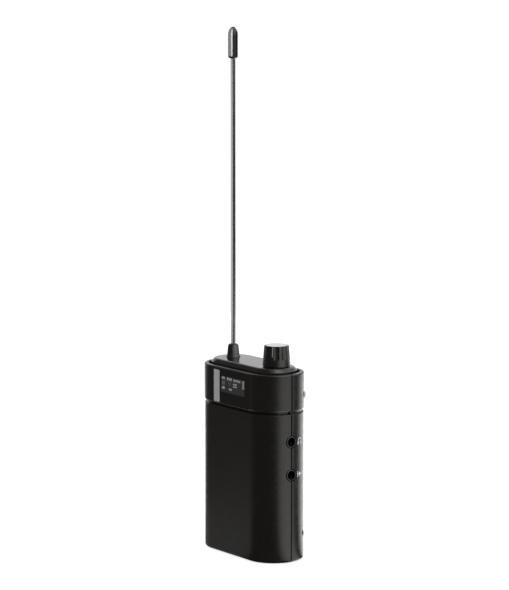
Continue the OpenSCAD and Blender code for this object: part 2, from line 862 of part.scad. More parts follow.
module knob_disc() color("#d8d9db")
    along_z(knob_off, 0, [knob_z + knob_h - disc_t, knob_z + knob_h], disc_r);

module knob_pointer() color("white") translate([knob_off, 0, knob_z]) pointer_bar();

// A key on its stem, with a shoulder behind the key panel
module key(z) {
    along_y(key_x, [key_panel_y[0] - key_rise, key_flange_y[1]], z, key_r);
    along_y(key_x, key_flange_y, z, key_flange_r);
    along_y(key_x, [key_flange_y[0], key_stem_end], z, key_stem_r);
}

module set_key() color("#d0d0d0") key(set_z);

module up_key() color("#d0d0d0") key(up_z);

module down_key() color("#d0d0d0") key(down_z);

module clip_bracket() color("silver") difference() {
    union() {
        box([-hinge_w / 2, hinge_w / 2], [head_r, head_r + bracket_t], bracket_z);
        for (side = [-1, 1]) {
            x = side > 0 ? [clip_w / 2 + hinge_gap, hinge_w / 2] : [-hinge_w / 2, -clip_w / 2 - hinge_gap];
            along_x(x, clip_pin_y, clip_pin_z, barrel_r);
            box(x, [head_r + 0.2, clip_pin_y],
                [clip_pin_z - barrel_r + hinge_gap, clip_pin_z + barrel_r - hinge_gap]);
        }
    }
    along_x([-far, far], clip_pin_y, clip_pin_z, clip_pin_r + 0.01);
    box([-clip_w / 2 - hinge_gap, clip_w / 2 + hinge_gap], [clip_pin_y - barrel_r - hinge_gap, far],
        [clip_pin_z - barrel_r - barrel_room, clip_pin_z + barrel_r + barrel_room]);
    box([-window_x, window_x], [0, far], bracket_window_z);
    for (side = [-1, 1])
        along_y(side * clip_screw_x, [0, far], clip_screw_z, screw_r);
}

module clip_pin() color("silver")
    along_x([-hinge_w / 2 + 0.1, hinge_w / 2 - 0.1], clip_pin_y, clip_pin_z, clip_pin_r);

// Middle of the lever's thickness at height z: flat, dipping to touch the case, then flaring out
function lever_mid(z) =
    z > thumb_bend_z
        ? lever_y + thumb_flare * (1 - cos(90 * (z - thumb_bend_z) / (thumb_z - thumb_bend_z)))
    : z > lever_bend_z ? lever_y
    : z > lever_touch_z
        ? lever_touch_y + (lever_y - lever_touch_y)
            * (1 - cos(180 * (z - lever_touch_z) / (lever_bend_z - lever_touch_z))) / 2
    : lever_touch_y + lever_flare * (1 - cos(90 * (lever_touch_z - z) / (lever_touch_z - lever_low_z)));

module lever_side() polygon(concat(
    [for (z = lever_levels) [lever_mid(z) - clip_t / 2, z]],
    [for (i = [len(lever_levels) - 1:-1:0]) [lever_mid(lever_levels[i]) + clip_t / 2, lever_levels[i]]]
));

module lever_front() {
    side = concat(
        arc([clip_w / 2 - lever_foot_in, lever_low_z + lever_foot_r], lever_foot_r, -90, -10),
        [[clip_w / 2, shoulder_z[0]], [thumb_w / 2, shoulder_z[1]]],
        arc([thumb_w / 2 - thumb_r, thumb_z - thumb_r], thumb_r, 0, 90)
    );
    polygon(concat(side, mirrored(side)));
}

module belt_clip() color("#1c1d1f") difference() {
    union() {
        intersection() {
            extrude_x([-clip_w, clip_w]) lever_side();
            extrude_y([body_r, far]) lever_front();
        }
        along_x([-clip_w / 2, clip_w / 2], clip_pin_y, clip_pin_z, barrel_r);
    }
    along_x([-far, far], clip_pin_y, clip_pin_z, clip_pin_r + clip_play);
    box([-window_x, window_x], [0, far], window_z);
}

module clip_spring() color("silver")
    translate([-coil_pitch * coil_turns / 2, clip_pin_y, clip_pin_z]) rotate([0, 90, 0])
        wire_tube(coil_path_x, coil_wire_r);

module clip_screws() color("silver")
    for (side = [-1, 1]) {
        seat = head_r + bracket_t;
        along_y(side * clip_screw_x, [clip_screw_end, seat], clip_screw_z, screw_r);
        along_y(side * clip_screw_x, [seat, seat + clip_screw_head_h], clip_screw_z, clip_screw_head_r);
    }

module case_screws() color("#3a3b3d")
    at_case_screws(screw_low_z, screw_high_z) {
        along_y(0, [screw_seat_y - screw_len, screw_seat_y], 0, screw_r);
        difference() {
            along_y(0, [screw_seat_y, screw_seat_y + screw_head_h], 0, screw_head_r);
            for (turn = [0, 90])
                rotate([0, turn, 0])
                    box([-drive_half[0], drive_half[0]], [screw_seat_y + screw_head_h - drive_depth, far],
                        [-drive_half[1], drive_half[1]]);
        }
    }

rear_shell();
head_front();
battery_cover();
cover_pins();
top_cap();
display_panel();
oled_module();
display_board();
main_board();
rf_shield();
tact_switches();
headphone_jack();
line_jack();
battery_tray();
cell_left();
cell_right();
contact_bridge();
terminal_contacts();
battery_springs();
antenna_boot();
antenna_rod();
antenna_tip();
antenna_base();
pot_body();
pot_nut();
pot_shaft();
volume_knob();
knob_disc();
knob_pointer();
set_key();
up_key();
down_key();
clip_bracket();
clip_pin();
belt_clip();
clip_spring();
clip_screws();
case_screws();
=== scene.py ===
"""Looks of a belt-worn radio receiver: finishes, prints, display, light and camera round its CAD frame."""
import json
import math

import bmesh
import bpy
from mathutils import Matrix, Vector


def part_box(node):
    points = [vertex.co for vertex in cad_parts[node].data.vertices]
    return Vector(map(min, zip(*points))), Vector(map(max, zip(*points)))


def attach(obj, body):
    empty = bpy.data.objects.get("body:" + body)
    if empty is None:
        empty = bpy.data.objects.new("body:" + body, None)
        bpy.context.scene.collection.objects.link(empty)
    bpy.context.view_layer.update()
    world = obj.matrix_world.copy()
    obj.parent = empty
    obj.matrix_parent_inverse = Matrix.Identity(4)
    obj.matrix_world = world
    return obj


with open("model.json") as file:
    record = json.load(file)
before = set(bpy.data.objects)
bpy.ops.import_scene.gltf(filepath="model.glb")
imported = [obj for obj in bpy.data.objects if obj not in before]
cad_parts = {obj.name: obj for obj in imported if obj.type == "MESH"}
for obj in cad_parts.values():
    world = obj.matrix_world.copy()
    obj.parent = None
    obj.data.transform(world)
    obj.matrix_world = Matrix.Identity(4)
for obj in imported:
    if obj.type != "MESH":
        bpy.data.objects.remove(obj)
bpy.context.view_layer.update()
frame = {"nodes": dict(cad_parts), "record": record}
NODES = frame["nodes"]
SCENE = bpy.context.scene
MM = 0.001
WHITE = (1, 1, 1, 1)


def box_mm(node):
    """Lowest and highest corner of a CAD node, in millimetres."""
    return [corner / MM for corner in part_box(node)]


def middle_mm(node):
    """Middle of a CAD node's box, in millimetres."""
    low, high = box_mm(node)
    return (low + high) / 2


# Camera of the photograph: its place and aim in metres, its lens and sensor in millimetres
CAMERA_AT = Vector((1.006919, -0.729702, 0.294983))
CAMERA_AIM = Vector((-0.013167, 0.009912, 0.117161))
CAMERA_LENS = 167.75
SENSOR_WIDTH = 36.0

# What glossy surfaces see of the studio, by compass direction from +X in degrees:
# middle, half angle at full level, half angle where it ends, level
STUDIO_DIM = 0.02
STUDIO_LOBES = {
    "side_box": (13, 14, 41, 1.5),
    "front_room": (206, 18, 38, 0.07),
}
# Sines of the drop below the horizon between which the studio fades out, past the table's edge
STUDIO_FADE = (-0.04, -0.02)
# Lobes of the same form: the white table behind the object, and its glow in front, near the object
TABLE_BACK = (125, 32, 62, 2.5)
TABLE_NEAR = (206, 18, 42, 0.2)
# Point that the table's compass directions are taken from: the right end of the case, in millimetres
TABLE_FROM = (20, 3, 0)
# Lobes in the sky, with the elevation in degrees after the compass direction
SKY_LOBES = {
    "backdrop": (140, -5, 40, 58, 1.0),
    "top_box": (60, 60, 25, 50, 1.25),
}
# Level of the even light that the studio gives to dull surfaces
WORLD_FILL = 0.75

# Table, in millimetres: its height, half its width, and where its near glow is full and where it ends
FLOOR_Z = -0.4
FLOOR_HALF = 620
NEAR_REACH = (30, 250)
# Its paper grey, which takes the shadow, and what is added to that for the camera
FLOOR_GREY = 0.5
FLOOR_GLOW = 0.74

# Soft boxes that light without showing in reflections: azimuth and elevation in degrees,
# distance, width and height in metres, radiance
SOFT_BOXES = {
    "side_box": (12, 12, 0.95, 0.5, 0.9, 1.2),
    "top_box": (60, 70, 1.2, 0.9, 0.9, 1.0),
    "front_fill": (-70, 25, 1.3, 0.8, 0.8, 3.0),
}
# Height that they face, in millimetres
LAMP_AIM_Z = 60
# Panels that one node of the antenna alone mirrors: node, azimuth in degrees, distance,
# lower and upper edge and width in millimetres, radiance
PANELS = [
    ("antenna_rod", -125, 300, 40, 225, 600, 1.4),
    ("antenna_rod", -65, 300, 40, 225, 230, 1.0),
    ("antenna_tip", -100, 300, 180, 900, 800, 4.3),
    ("antenna_tip", -65, 300, 180, 900, 190, 14.0),
    ("antenna_boot", 10, 22, 88, 108, 50, 3.0),
]
# Bright patches of the table that the head's lower lip alone mirrors: middle across and in depth,
# width and depth in millimetres, radiance
LIP_NODE = "head_front"
LIP_PATCHES = [
    (-95, -55, 110, 100, 0.48),
    (85, -5, 60, 70, 2.2),
]

# Moulded plastics: colour and roughness, and where they differ from the usual moulding, the grain's
# size and depth in millimetres, how far the roughness varies, and the specular level
MOULDED = {
    "case_black": {"colour": (0.0077, 0.0067, 0.0051), "rough": 0.32},
    "cap_black": {"colour": (0.0094, 0.0086, 0.0074), "rough": 0.18,
                  "grain_mm": 0.3, "depth_mm": 0.0015, "spread": 0.03},
    "panel_gloss": {"colour": (0.0047, 0.004, 0.003), "rough": 0.1,
                    "grain_mm": 0.6, "depth_mm": 0.0004, "spread": 0.02},
    "knob_black": {"colour": (0.0068, 0.006, 0.0047), "rough": 0.36, "gloss": 0.75},
    "inlay_white": {"colour": (0.8, 0.8, 0.79), "rough": 0.45},
    "pointer_grey": {"colour": (0.18, 0.18, 0.18), "rough": 0.45},
    "ink_grey": {"colour": (0.24, 0.24, 0.24), "rough": 0.4},
    "ink_dim": {"colour": (0.08, 0.08, 0.08), "rough": 0.4},
    "antenna_rubber": {"colour": (0.008, 0.0078, 0.0074), "rough": 0.42, "grain_mm": 0.3, "depth_mm": 0.001},
    "tip_gloss": {"colour": (0.006, 0.0056, 0.005), "rough": 0.22,
                  "grain_mm": 0.3, "depth_mm": 0.0005, "spread": 0.03},
    "tray_grey": {"colour": (0.022, 0.022, 0.023), "rough": 0.5},
    "key_grey": {"colour": (0.42, 0.42, 0.43), "rough": 0.45},
    "cell_wrap": {"colour": (0.05, 0.07, 0.1), "rough": 0.25, "grain_mm": 0.5, "depth_mm": 0.001},
    "screen_glass": {"colour": (0.025, 0.025, 0.025), "rough": 0.1,
                     "grain_mm": 0.5, "depth_mm": 0.0003, "spread": 0.02},
}
# Size in millimetres of the faint mottle and of the patches of gloss on them, and the mottle's shades
MOTTLE_MM = 9
PATCH_MM = 2.5
MOTTLE_SHADES = (0.82, 1.18)

# Metals: colour and roughness, how the lines of their drawing or brushing are squeezed along each axis,
# the depth of those lines in millimetres, and how metallic they are
PLATED = {
    "strip_silver": {"colour": (0.34, 0.34, 0.34), "rough": 0.4, "squeeze": (1, 1, 12), "metal": 0.2},
    "antenna_plating": {"colour": (0.3, 0.3, 0.31), "rough": 0.17,
                        "squeeze": (6, 6, 0.02), "depth_mm": 0.0001},
    "steel": {"colour": (0.46, 0.46, 0.47), "rough": 0.28, "squeeze": (1, 6, 1)},
    "dark_steel": {"colour": (0.03, 0.03, 0.032), "rough": 0.4, "squeeze": (6, 6, 1)},
    "brass": {"colour": (0.72, 0.52, 0.24), "rough": 0.3},
    "cell_band": {"colour": (0.6, 0.61, 0.62), "rough": 0.3, "squeeze": (1, 1, 10)},
    "pot_metal": {"colour": (0.5, 0.5, 0.48), "rough": 0.35},
}
# Size in millimetres of their lines and of their faint stains, the stains' shades,
# and how far the roughness varies
LINE_MM = 0.18
STAIN_MM = 4
STAIN_SHADES = (0.88, 1.06)
PLATED_SPREAD = 0.08

# Knob's disc: its silver, the lathe's rings on it, the shade and roughness in and between them, their depth
DISC_SILVER = (0.64, 0.64, 0.64)
DISC_RINGS = {"Scale": 900, "Distortion": 0.6, "Detail": 3}
RING_SHADE = 0.9
RING_ROUGH = (0.2, 0.34)
RING_MM = 0.002
RING_STRENGTH = 0.6

# Sockets: their plastic, then the radius of their mouths and the width of its edge in millimetres,
# and inside the mouths the painted shade (the share of the plastic's colour left in the bores) and the
# roughness
SOCKET_COLOUR = (0.008, 0.008, 0.0078)
SOCKET_ROUGH = 0.3
SOCKET_GRAIN_MM = 0.22
SOCKET_DEPTH_MM = 0.002
MOUTH_R = 2.1
MOUTH_EDGE = 0.06
BORE_PAINTED_SHADE = 0.05
BORE_ROUGH = 0.1

# Circuit boards: two shades of the solder mask, the shade over copper, and the layout of the tracks
BOARD_TRACKS = {
    "Color1": (0.008, 0.075, 0.03, 1),
    "Color2": (0.012, 0.11, 0.045, 1),
    "Mortar": (0.03, 0.2, 0.08, 1),
    "Scale": 320,
    "Mortar Size": 0.03,
}
BOARD_PATCH_MM = 1.5
BOARD_ROUGH = (0.28, 0.42)
TRACK_MM = 0.02

# Nodes whose finish isn't the one that is named after their record slot
NODE_FINISHES = {"knob_pointer": "pointer_grey", "antenna_tip": "tip_gloss"}

# Places on the CAD frame that finishes, lamps and prints follow, in millimetres
COVER_LOW, COVER_HIGH = box_mm("battery_cover")
BODY_R = -COVER_LOW.y
ROUND_END_X = COVER_HIGH.x - BODY_R
PANEL_Y = box_mm("display_panel")[0].y
KNOB_X = middle_mm("volume_knob").x
ANTENNA_X = middle_mm("antenna_rod").x
HEADPHONE_Z = middle_mm("headphone_jack").z
LINE_Z = middle_mm("line_jack").z

# A print stands this much proud of what it is printed on, and reaches this far in, in millimetres
INK_PROUD = 0.03
INK_SUNK = 0.03
# On a round surface it is cut into slices of this width, and a corner this near to a cut counts as on it
INK_SLICE = 0.4
INK_NEAR = 0.002

# Silver strip and display window on the panel: middle across and up, width, height and corner, in millimetres
PANEL_STRIP = (-9.85, 77.65, 4.45, 14.9, 0.4)
SCREEN_WINDOW = (2.82, 79.02, 18.3, 7.36, 0.7)
# Bright fields on the display: middle across and up, width and height
SCREEN_FIELDS = [
    (-4.5, 81.95, 2.3, 1.0),
    (-4.5, 77.4, 2.3, 1.15),
    (0.88, 77.2, 2.3, 0.87),
]
# Rows of bright bars on it: the first bar, the step across and up to the next, and their number
SCREEN_ROWS = [
    ((-1.15, 81.9, 1.0, 1.3), (1.4, 0), 3),
    ((4.0, 81.75, 1.0, 1.1), (1.4, 0), 4),
    ((4.56, 79.95, 3.1, 0.6), (0, -1.1), 2),
    ((11.0, 79.0, 1.5, 0.56), (0, 0.78), 5),
]
# A dim field, and a dim dial: middle across and up, inner and outer radius, start and end in degrees
DIM_FIELD = (-4.5, 79.7, 2.3, 1.9)
DIM_DIAL = (0.4, 79.8, 0.6, 0.95, -240, 60)

# Pictograms on the round end: their azimuth in degrees, and how far the headphone lies below its socket
PICTOGRAM_AZIMUTH = 23
HEADPHONE_DROP = 0.2
# Headphone: inner and outer radius and rise of its band, then the ear pieces' place across, their drop,
# and their width, height and corner
BAND_RADII = (1.05, 1.45)
BAND_RISE = 0.25
EAR_U = 1.2
EAR_DROP = 0.75
EAR_SIZE = (0.8, 1.5, 0.3)
# Arrow to a bar: the arrow's tip, neck and end across, half the height of its head and of its shaft,
# and the bar's place across, width and height
ARROW_U = (-1.1, 0.3, 1.7)
ARROW_HALF = (1.1, 0.3)
STOP_BAR = (-1.5, 0.4, 2.6)

# Marks on the keys: width and corner of the square, then half the width, drop of the foot and rise of the
# tip of the triangles
KEYS = ("set", "up", "down")
KEY_SQUARE = (1.5, 0.3)
KEY_TRIANGLE = (0.95, 0.65, 0.85)

# Azimuth of the front, in degrees
FRONT_AZIMUTH = -90
# Cells: which of them have their button end up
BUTTON_UP = {"left": True, "right": False}
# How far from that end its silver band and its two polarity marks lie, and the marks' length and width
CELL_BAND = (2.1, 11.1)
CELL_PLUS = 15
CELL_MINUS = 45.5
POLARITY_SIZE = (3.2, 0.7)


def make_camera():
    data = bpy.data.cameras.new("camera")
    data.lens = CAMERA_LENS
    data.sensor_width = SENSOR_WIDTH
    camera = bpy.data.objects.new("camera", data)
    camera.location = CAMERA_AT
    camera.rotation_mode = "QUATERNION"
    camera.rotation_quaternion = (CAMERA_AIM - CAMERA_AT).to_track_quat("-Z", "Y")
    SCENE.collection.objects.link(camera)
    SCENE.camera = camera


# Node helpers

def empty_tree(owner):
    """The node tree of a world or a material, with nothing in it yet."""
    owner.use_nodes = True
    owner.node_tree.nodes.clear()
    return owner.node_tree


def add_node(tree, kind, links=(), inputs=(), **settings):
    """A shader node with its settings, the outputs that feed it and the values of its other inputs."""
    made = tree.nodes.new(kind)
    for key, value in settings.items():
        setattr(made, key, value)
    for key, source in dict(links).items():
        tree.links.new(source, made.inputs[key])
    for key, value in dict(inputs).items():
        made.inputs[key].default_value = value
    return made


def ramp(tree, source, from_low, from_high, low, high, kind="SMOOTHSTEP"):
    """Carries a value from one range over to another, and holds it at the ends."""
    values = {"From Min": from_low, "From Max": from_high, "To Min": low, "To Max": high}
    made = add_node(tree, "ShaderNodeMapRange", {"Value": source}, values, interpolation_type=kind)
    return made.outputs["Result"]


def calculate(tree, operation, first, second):
    return add_node(tree, "ShaderNodeMath", {0: first, 1: second}, operation=operation).outputs["Value"]


def new_vector(tree, operation, source, by=None):
    """A new vector from a vector and, where the operation takes one, a fixed second vector."""
    values = {} if by is None else {1: by}
    made = add_node(tree, "ShaderNodeVectorMath", {0: source}, values, operation=operation)
    return made.outputs["Vector"]


def vector_length(tree, source):
    return add_node(tree, "ShaderNodeVectorMath", {0: source}, operation="LENGTH").outputs["Value"]


def mix_shader(tree, share, first, second):
    return add_node(tree, "ShaderNodeMixShader", {"Fac": share, 1: first, 2: second}).outputs["Shader"]


def compass(azimuth, elevation=0.0):
    """The unit vector towards a direction in degrees."""
    a, e = math.radians(azimuth), math.radians(elevation)
    return Vector((math.cos(a) * math.cos(e), math.sin(a) * math.cos(e), math.sin(e)))


# Light and stage

def lobe(tree, direction, towards, full, out, level):
    """Level inside the full angle from a direction, nothing outside the other one."""
    dot = add_node(tree, "ShaderNodeVectorMath", {0: direction}, {1: towards}, operation="DOT_PRODUCT")
    near, far = math.cos(math.radians(full)), math.cos(math.radians(out))
    return ramp(tree, dot.outputs["Value"], far, near, 0, level)


def flattened(tree, direction):
    """The compass part of a direction."""
    flat = new_vector(tree, "MULTIPLY", direction, (1, 1, 0))
    return new_vector(tree, "NORMALIZE", flat)


def studio_level(tree, flat):
    """How bright the studio is in a compass direction."""
    total = None
    for azimuth, full, out, level in STUDIO_LOBES.values():
        one = lobe(tree, flat, compass(azimuth), full, out, level)
        total = calculate(tree, "ADD", total, one) if total else one
    lifted = add_node(tree, "ShaderNodeMath", {0: total}, {1: STUDIO_DIM}, operation="ADD")
    return lifted.outputs["Value"]


def mirrored_ray(tree, path):
    """1 for rays that a surface mirrors or lets through."""
    return calculate(tree, "MAXIMUM", path.outputs["Is Glossy Ray"], path.outputs["Is Transmission Ray"])


def sky_level(tree):
    """How bright the world is in reflections."""
    direction = add_node(tree, "ShaderNodeTexCoord").outputs["Generated"]
    rise = add_node(tree, "ShaderNodeSeparateXYZ", {"Vector": direction}).outputs["Z"]
    kept = ramp(tree, rise, *STUDIO_FADE, 0, 1)
    total = calculate(tree, "MULTIPLY", studio_level(tree, flattened(tree, direction)), kept)
    for azimuth, elevation, full, out, level in SKY_LOBES.values():
        one = lobe(tree, direction, compass(azimuth, elevation), full, out, level)
        total = calculate(tree, "ADD", total, one)
    return total


def make_world():
    """White for the camera, the studio in reflections, and an even fill on dull surfaces."""
    world = bpy.data.worlds.new("studio")
    SCENE.world = world
    tree = empty_tree(world)
    path = add_node(tree, "ShaderNodeLightPath")
    seen = add_node(tree, "ShaderNodeBackground", {"Strength": sky_level(tree)}, {"Color": WHITE})
    white = add_node(tree, "ShaderNodeBackground", (), {"Color": WHITE})
    fill = add_node(tree, "ShaderNodeBackground", (), {"Color": WHITE, "Strength": WORLD_FILL})
    lit = mix_shader(tree, mirrored_ray(tree, path), fill.outputs[0], seen.outputs[0])
    shown = mix_shader(tree, path.outputs["Is Camera Ray"], lit, white.outputs[0])
    add_node(tree, "ShaderNodeOutputWorld", {"Surface": shown})


def table_level(tree):
    """How bright the table is in reflections: the studio's level, its white back and its near glow."""
    place = add_node(tree, "ShaderNodeTexCoord").outputs["Object"]
    flat = flattened(tree, new_vector(tree, "SUBTRACT", place, Vector(TABLE_FROM) * MM))
    azimuth, *angles_and_level = TABLE_BACK
    back = lobe(tree, flat, compass(azimuth), *angles_and_level)
    azimuth, *angles_and_level = TABLE_NEAR
    glow = lobe(tree, flat, compass(azimuth), *angles_and_level)
    full, out = NEAR_REACH
    near = ramp(tree, vector_length(tree, place), full * MM, out * MM, 1, 0)
    total = calculate(tree, "ADD", studio_level(tree, flat), back)
    return calculate(tree, "ADD", total, calculate(tree, "MULTIPLY", near, glow))


def floor_finish():
    """White paper for the camera, with the object's shadow; in reflections, the level of the table."""
    material = bpy.data.materials.new("floor_white")
    tree = empty_tree(material)
    path = add_node(tree, "ShaderNodeLightPath")
    paper = add_node(tree, "ShaderNodeBsdfDiffuse", (), {"Color": (FLOOR_GREY, FLOOR_GREY, FLOOR_GREY, 1)})
    glow = add_node(tree, "ShaderNodeEmission", (), {"Strength": FLOOR_GLOW})
    bright = add_node(tree, "ShaderNodeAddShader", {0: paper.outputs[0], 1: glow.outputs[0]})
    seen = add_node(tree, "ShaderNodeEmission", {"Strength": table_level(tree)})
    lit = mix_shader(tree, mirrored_ray(tree, path), paper.outputs[0], seen.outputs[0])
    shown = mix_shader(tree, path.outputs["Is Camera Ray"], lit, bright.outputs[0])
    add_node(tree, "ShaderNodeOutputMaterial", {"Surface": shown})
    return material


def make_floor():
    mesh = bpy.data.meshes.new("floor")
    h, z = FLOOR_HALF * MM, FLOOR_Z * MM
    mesh.from_pydata([(-h, -h, z), (h, -h, z), (h, h, z), (-h, h, z)], [], [(0, 1, 2, 3)])
    mesh.materials.append(floor_finish())
    floor = bpy.data.objects.new("floor", mesh)
    SCENE.collection.objects.link(floor)


def area_lamp(name, place, facing, width, height, radiance):
    data = bpy.data.lights.new(name, "AREA")
    data.shape = "RECTANGLE"
    data.size, data.size_y = width, height
    data.energy = radiance * math.pi * width * height
    lamp = bpy.data.objects.new(name, data)
    lamp.location = place
    lamp.rotation_mode = "QUATERNION"
    lamp.rotation_quaternion = facing.to_track_quat("-Z", "Y")
    SCENE.collection.objects.link(lamp)
    return lamp


def make_soft_box(name, azimuth, elevation, distance, width, height, radiance):
    """A lamp that faces the middle of the case and stays out of reflections."""
    away = compass(azimuth, elevation)
    middle = Vector((0, 0, LAMP_AIM_Z * MM))
    lamp = area_lamp(name, middle + away * distance, -away, width, height, radiance)
    lamp.visible_glossy = False


def show_in_one(node, lamp):
    """Leaves a lamp only as a reflection in one node."""
    lamp.visible_diffuse = False
    lamp.visible_camera = False
    lit = bpy.data.collections.new(node + "_lit")
    lit.objects.link(NODES[node])
    lamp.light_linking.receiver_collection = lit


def make_panel(node, azimuth, distance, low, high, width, radiance):
    """An upright lamp beside the antenna that shows only as a reflection in one node."""
    away = compass(azimuth)
    place = Vector((ANTENNA_X, 0, (low + high) / 2)) + away * distance
    lamp = area_lamp(node + "_panel", place * MM, -away, width * MM, (high - low) * MM, radiance)
    show_in_one(node, lamp)


def make_patch(node, x, y, width, depth, radiance):
    """A lamp that lies on the table and shows only as a reflection in one node."""
    up = Vector((0, 0, 1))
    lamp = area_lamp(node + "_patch", Vector((x, y, 0)) * MM, up, width * MM, depth * MM, radiance)
    show_in_one(node, lamp)


# Finishes

class Finish:
    """A material and short names for the nodes that it is wired from."""

    def __init__(self, name, **sockets):
        self.material = bpy.data.materials.new(name)
        self.material.use_nodes = True
        self.tree = self.material.node_tree
        self.surface = self.tree.nodes["Principled BSDF"]
        self.place = add_node(self.tree, "ShaderNodeTexCoord").outputs["Object"]
        for key, value in sockets.items():
            self.surface.inputs[key.replace("_", " ")].default_value = value

    def mapped(self, scale=(1, 1, 1), shift=(0, 0, 0)):
        values = {"Location": shift, "Scale": scale}
        return add_node(self.tree, "ShaderNodeMapping", {"Vector": self.place}, values).outputs["Vector"]

    def noise(self, size_mm, detail=2.0, squeeze=(1, 1, 1)):
        values = {"Scale": 1 / (size_mm * MM), "Detail": detail}
        place = self.mapped(squeeze)
        return add_node(self.tree, "ShaderNodeTexNoise", {"Vector": place}, values).outputs["Fac"]

    def spread(self, source, low, high, from_low=0.3, from_high=0.7):
        """Carries a texture's range, which is a noise's unless given, evenly over to another."""
        return ramp(self.tree, source, from_low, from_high, low, high, "LINEAR")

    def colours(self, source, low, high):
        values = {"A": (*low, 1), "B": (*high, 1)}
        made = add_node(self.tree, "ShaderNodeMix", {"Factor": source}, values, data_type="RGBA")
        return made.outputs["Result"]

    def wire(self, socket, source):
        self.tree.links.new(source, self.surface.inputs[socket])

    def bump(self, height, depth_mm, strength=1.0):
        values = {"Strength": strength, "Distance": depth_mm * MM}
        made = add_node(self.tree, "ShaderNodeBump", {"Height": height}, values)
        self.wire("Normal", made.outputs["Normal"])


def shade(colour, share):
    return tuple(c * share for c in colour)


def moulded(name, colour, rough, grain_mm=0.22, depth_mm=0.004, spread=0.05, gloss=0.5):
    """Moulded plastic: a fine sparked grain, a faint mottle, and gloss that varies a little."""
    made = Finish(name, Specular_IOR_Level=gloss)
    dark, light = [shade(colour, share) for share in MOTTLE_SHADES]
    made.wire("Base Color", made.colours(made.noise(MOTTLE_MM, detail=3), dark, light))
    made.wire("Roughness", made.spread(made.noise(PATCH_MM, detail=3), rough - spread, rough + spread))
    made.bump(made.noise(grain_mm, detail=1), depth_mm)
    return made.material


def plated(name, colour, rough, squeeze=(1, 1, 1), depth_mm=0.002, metal=1.0):
    """Bare or plated metal with the fine lines of its drawing or brushing."""
    made = Finish(name, Metallic=metal)
    lines = made.noise(LINE_MM, detail=3, squeeze=squeeze)
    dark, light = [shade(colour, share) for share in STAIN_SHADES]
    made.wire("Base Color", made.colours(made.noise(STAIN_MM, detail=3), dark, light))
    made.wire("Roughness", made.spread(lines, rough - PLATED_SPREAD, rough + PLATED_SPREAD))
    made.bump(lines, depth_mm)
    return made.material


def socket(name):
    """Moulded plastic with painted shade: its colour is darkened inside the sockets' bores, which are also
    glossy.
    """
    made = Finish(name)
    tree = made.tree
    reaches = []
    for z in (HEADPHONE_Z, LINE_Z):
        across = made.mapped((0, 1, 1), (0, 0, -z * MM))
        reaches.append(vector_length(tree, across))
    reach = calculate(tree, "MINIMUM", *reaches)
    outside = ramp(tree, reach, MOUTH_R * MM, (MOUTH_R + MOUTH_EDGE) * MM, 0, 1)
    # Painted shade: the colour inside the mouths' radius is darkened to stand for the shade in the bores
    made.wire("Base Color", made.colours(outside, shade(SOCKET_COLOUR, BORE_PAINTED_SHADE), SOCKET_COLOUR))
    made.wire("Roughness", ramp(tree, outside, 0, 1, BORE_ROUGH, SOCKET_ROUGH))
    made.bump(made.noise(SOCKET_GRAIN_MM, detail=1), SOCKET_DEPTH_MM)
    return made.material


def spun_disc(name):
    """Aluminium turned on a lathe: fine rings about the knob's axis."""
    made = Finish(name, Metallic=1.0)
    place = made.mapped(shift=(-KNOB_X * MM, 0, 0))
    rings = add_node(made.tree, "ShaderNodeTexWave", {"Vector": place}, DISC_RINGS,
                     wave_type="RINGS", rings_direction="Z")
    lines = rings.outputs["Fac"]
    made.wire("Base Color", made.colours(lines, shade(DISC_SILVER, RING_SHADE), DISC_SILVER))
    made.wire("Roughness", made.spread(lines, *RING_ROUGH, 0, 1))
    made.bump(lines, RING_MM, RING_STRENGTH)
    return made.material


def board(name):
    """Solder mask over copper tracks."""
    made = Finish(name)
    tracks = add_node(made.tree, "ShaderNodeTexBrick", {"Vector": made.place}, BOARD_TRACKS)
    made.wire("Base Color", tracks.outputs["Color"])
    made.wire("Roughness", made.spread(made.noise(BOARD_PATCH_MM), *BOARD_ROUGH))
    made.bump(tracks.outputs["Fac"], TRACK_MM)
    return made.material


def make_finishes():
    finishes = {name: moulded(name, **values) for name, values in MOULDED.items()}
    for name, values in PLATED.items():
        finishes[name] = plated(name, **values)
    for name, make in {"inlay_silver": spun_disc, "socket_black": socket, "board_green": board}.items():
        finishes[name] = make(name)
    return finishes


def dress_nodes(finishes):
    """Gives each CAD node the finish of its record slot."""
    for part in frame["record"]["subparts"]:
        finish = NODE_FINISHES.get(part["node"], part["material_slot"])
        NODES[part["node"]].material_slots[0].material = finishes[finish]


# Outlines of prints, in millimetres across and up

def bar(u, v, width, height):
    w, h = width / 2, height / 2
    return [(u - w, v - h), (u + w, v - h), (u + w, v + h), (u - w, v + h)]


def bar_row(first, step, count):
    u, v, width, height = first
    return [bar(u + step[0] * i, v + step[1] * i, width, height) for i in range(count)]


def arc(u, v, r, start, end, steps):
    turn = [math.radians(start + (end - start) * i / steps) for i in range(steps + 1)]
    return [(u + r * math.cos(t), v + r * math.sin(t)) for t in turn]


def rounded(u, v, width, height, r, steps=5):
    w, h = width / 2 - r, height / 2 - r
    corners = ((w, -h, -90), (w, h, 0), (-w, h, 90), (-w, -h, 180))
    return [p for x, y, start in corners for p in arc(u + x, v + y, r, start, start + 90, steps)]


def open_ring(u, v, r_in, r_out, start, end, steps=20):
    return arc(u, v, r_out, start, end, steps) + arc(u, v, r_in, end, start, steps)


def plus(u, v, size, width):
    s, w = size / 2, width / 2
    quarter = [(s, -w), (s, w), (w, w)]
    turned = quarter + [(-y, x) for x, y in quarter]
    return [(u + x, v + y) for x, y in turned + [(-x, -y) for x, y in turned]]


def headphone(z):
    ears = [rounded(u, z - EAR_DROP, *EAR_SIZE) for u in (-EAR_U, EAR_U)]
    return [open_ring(0, z + BAND_RISE, *BAND_RADII, 0, 180), *ears]


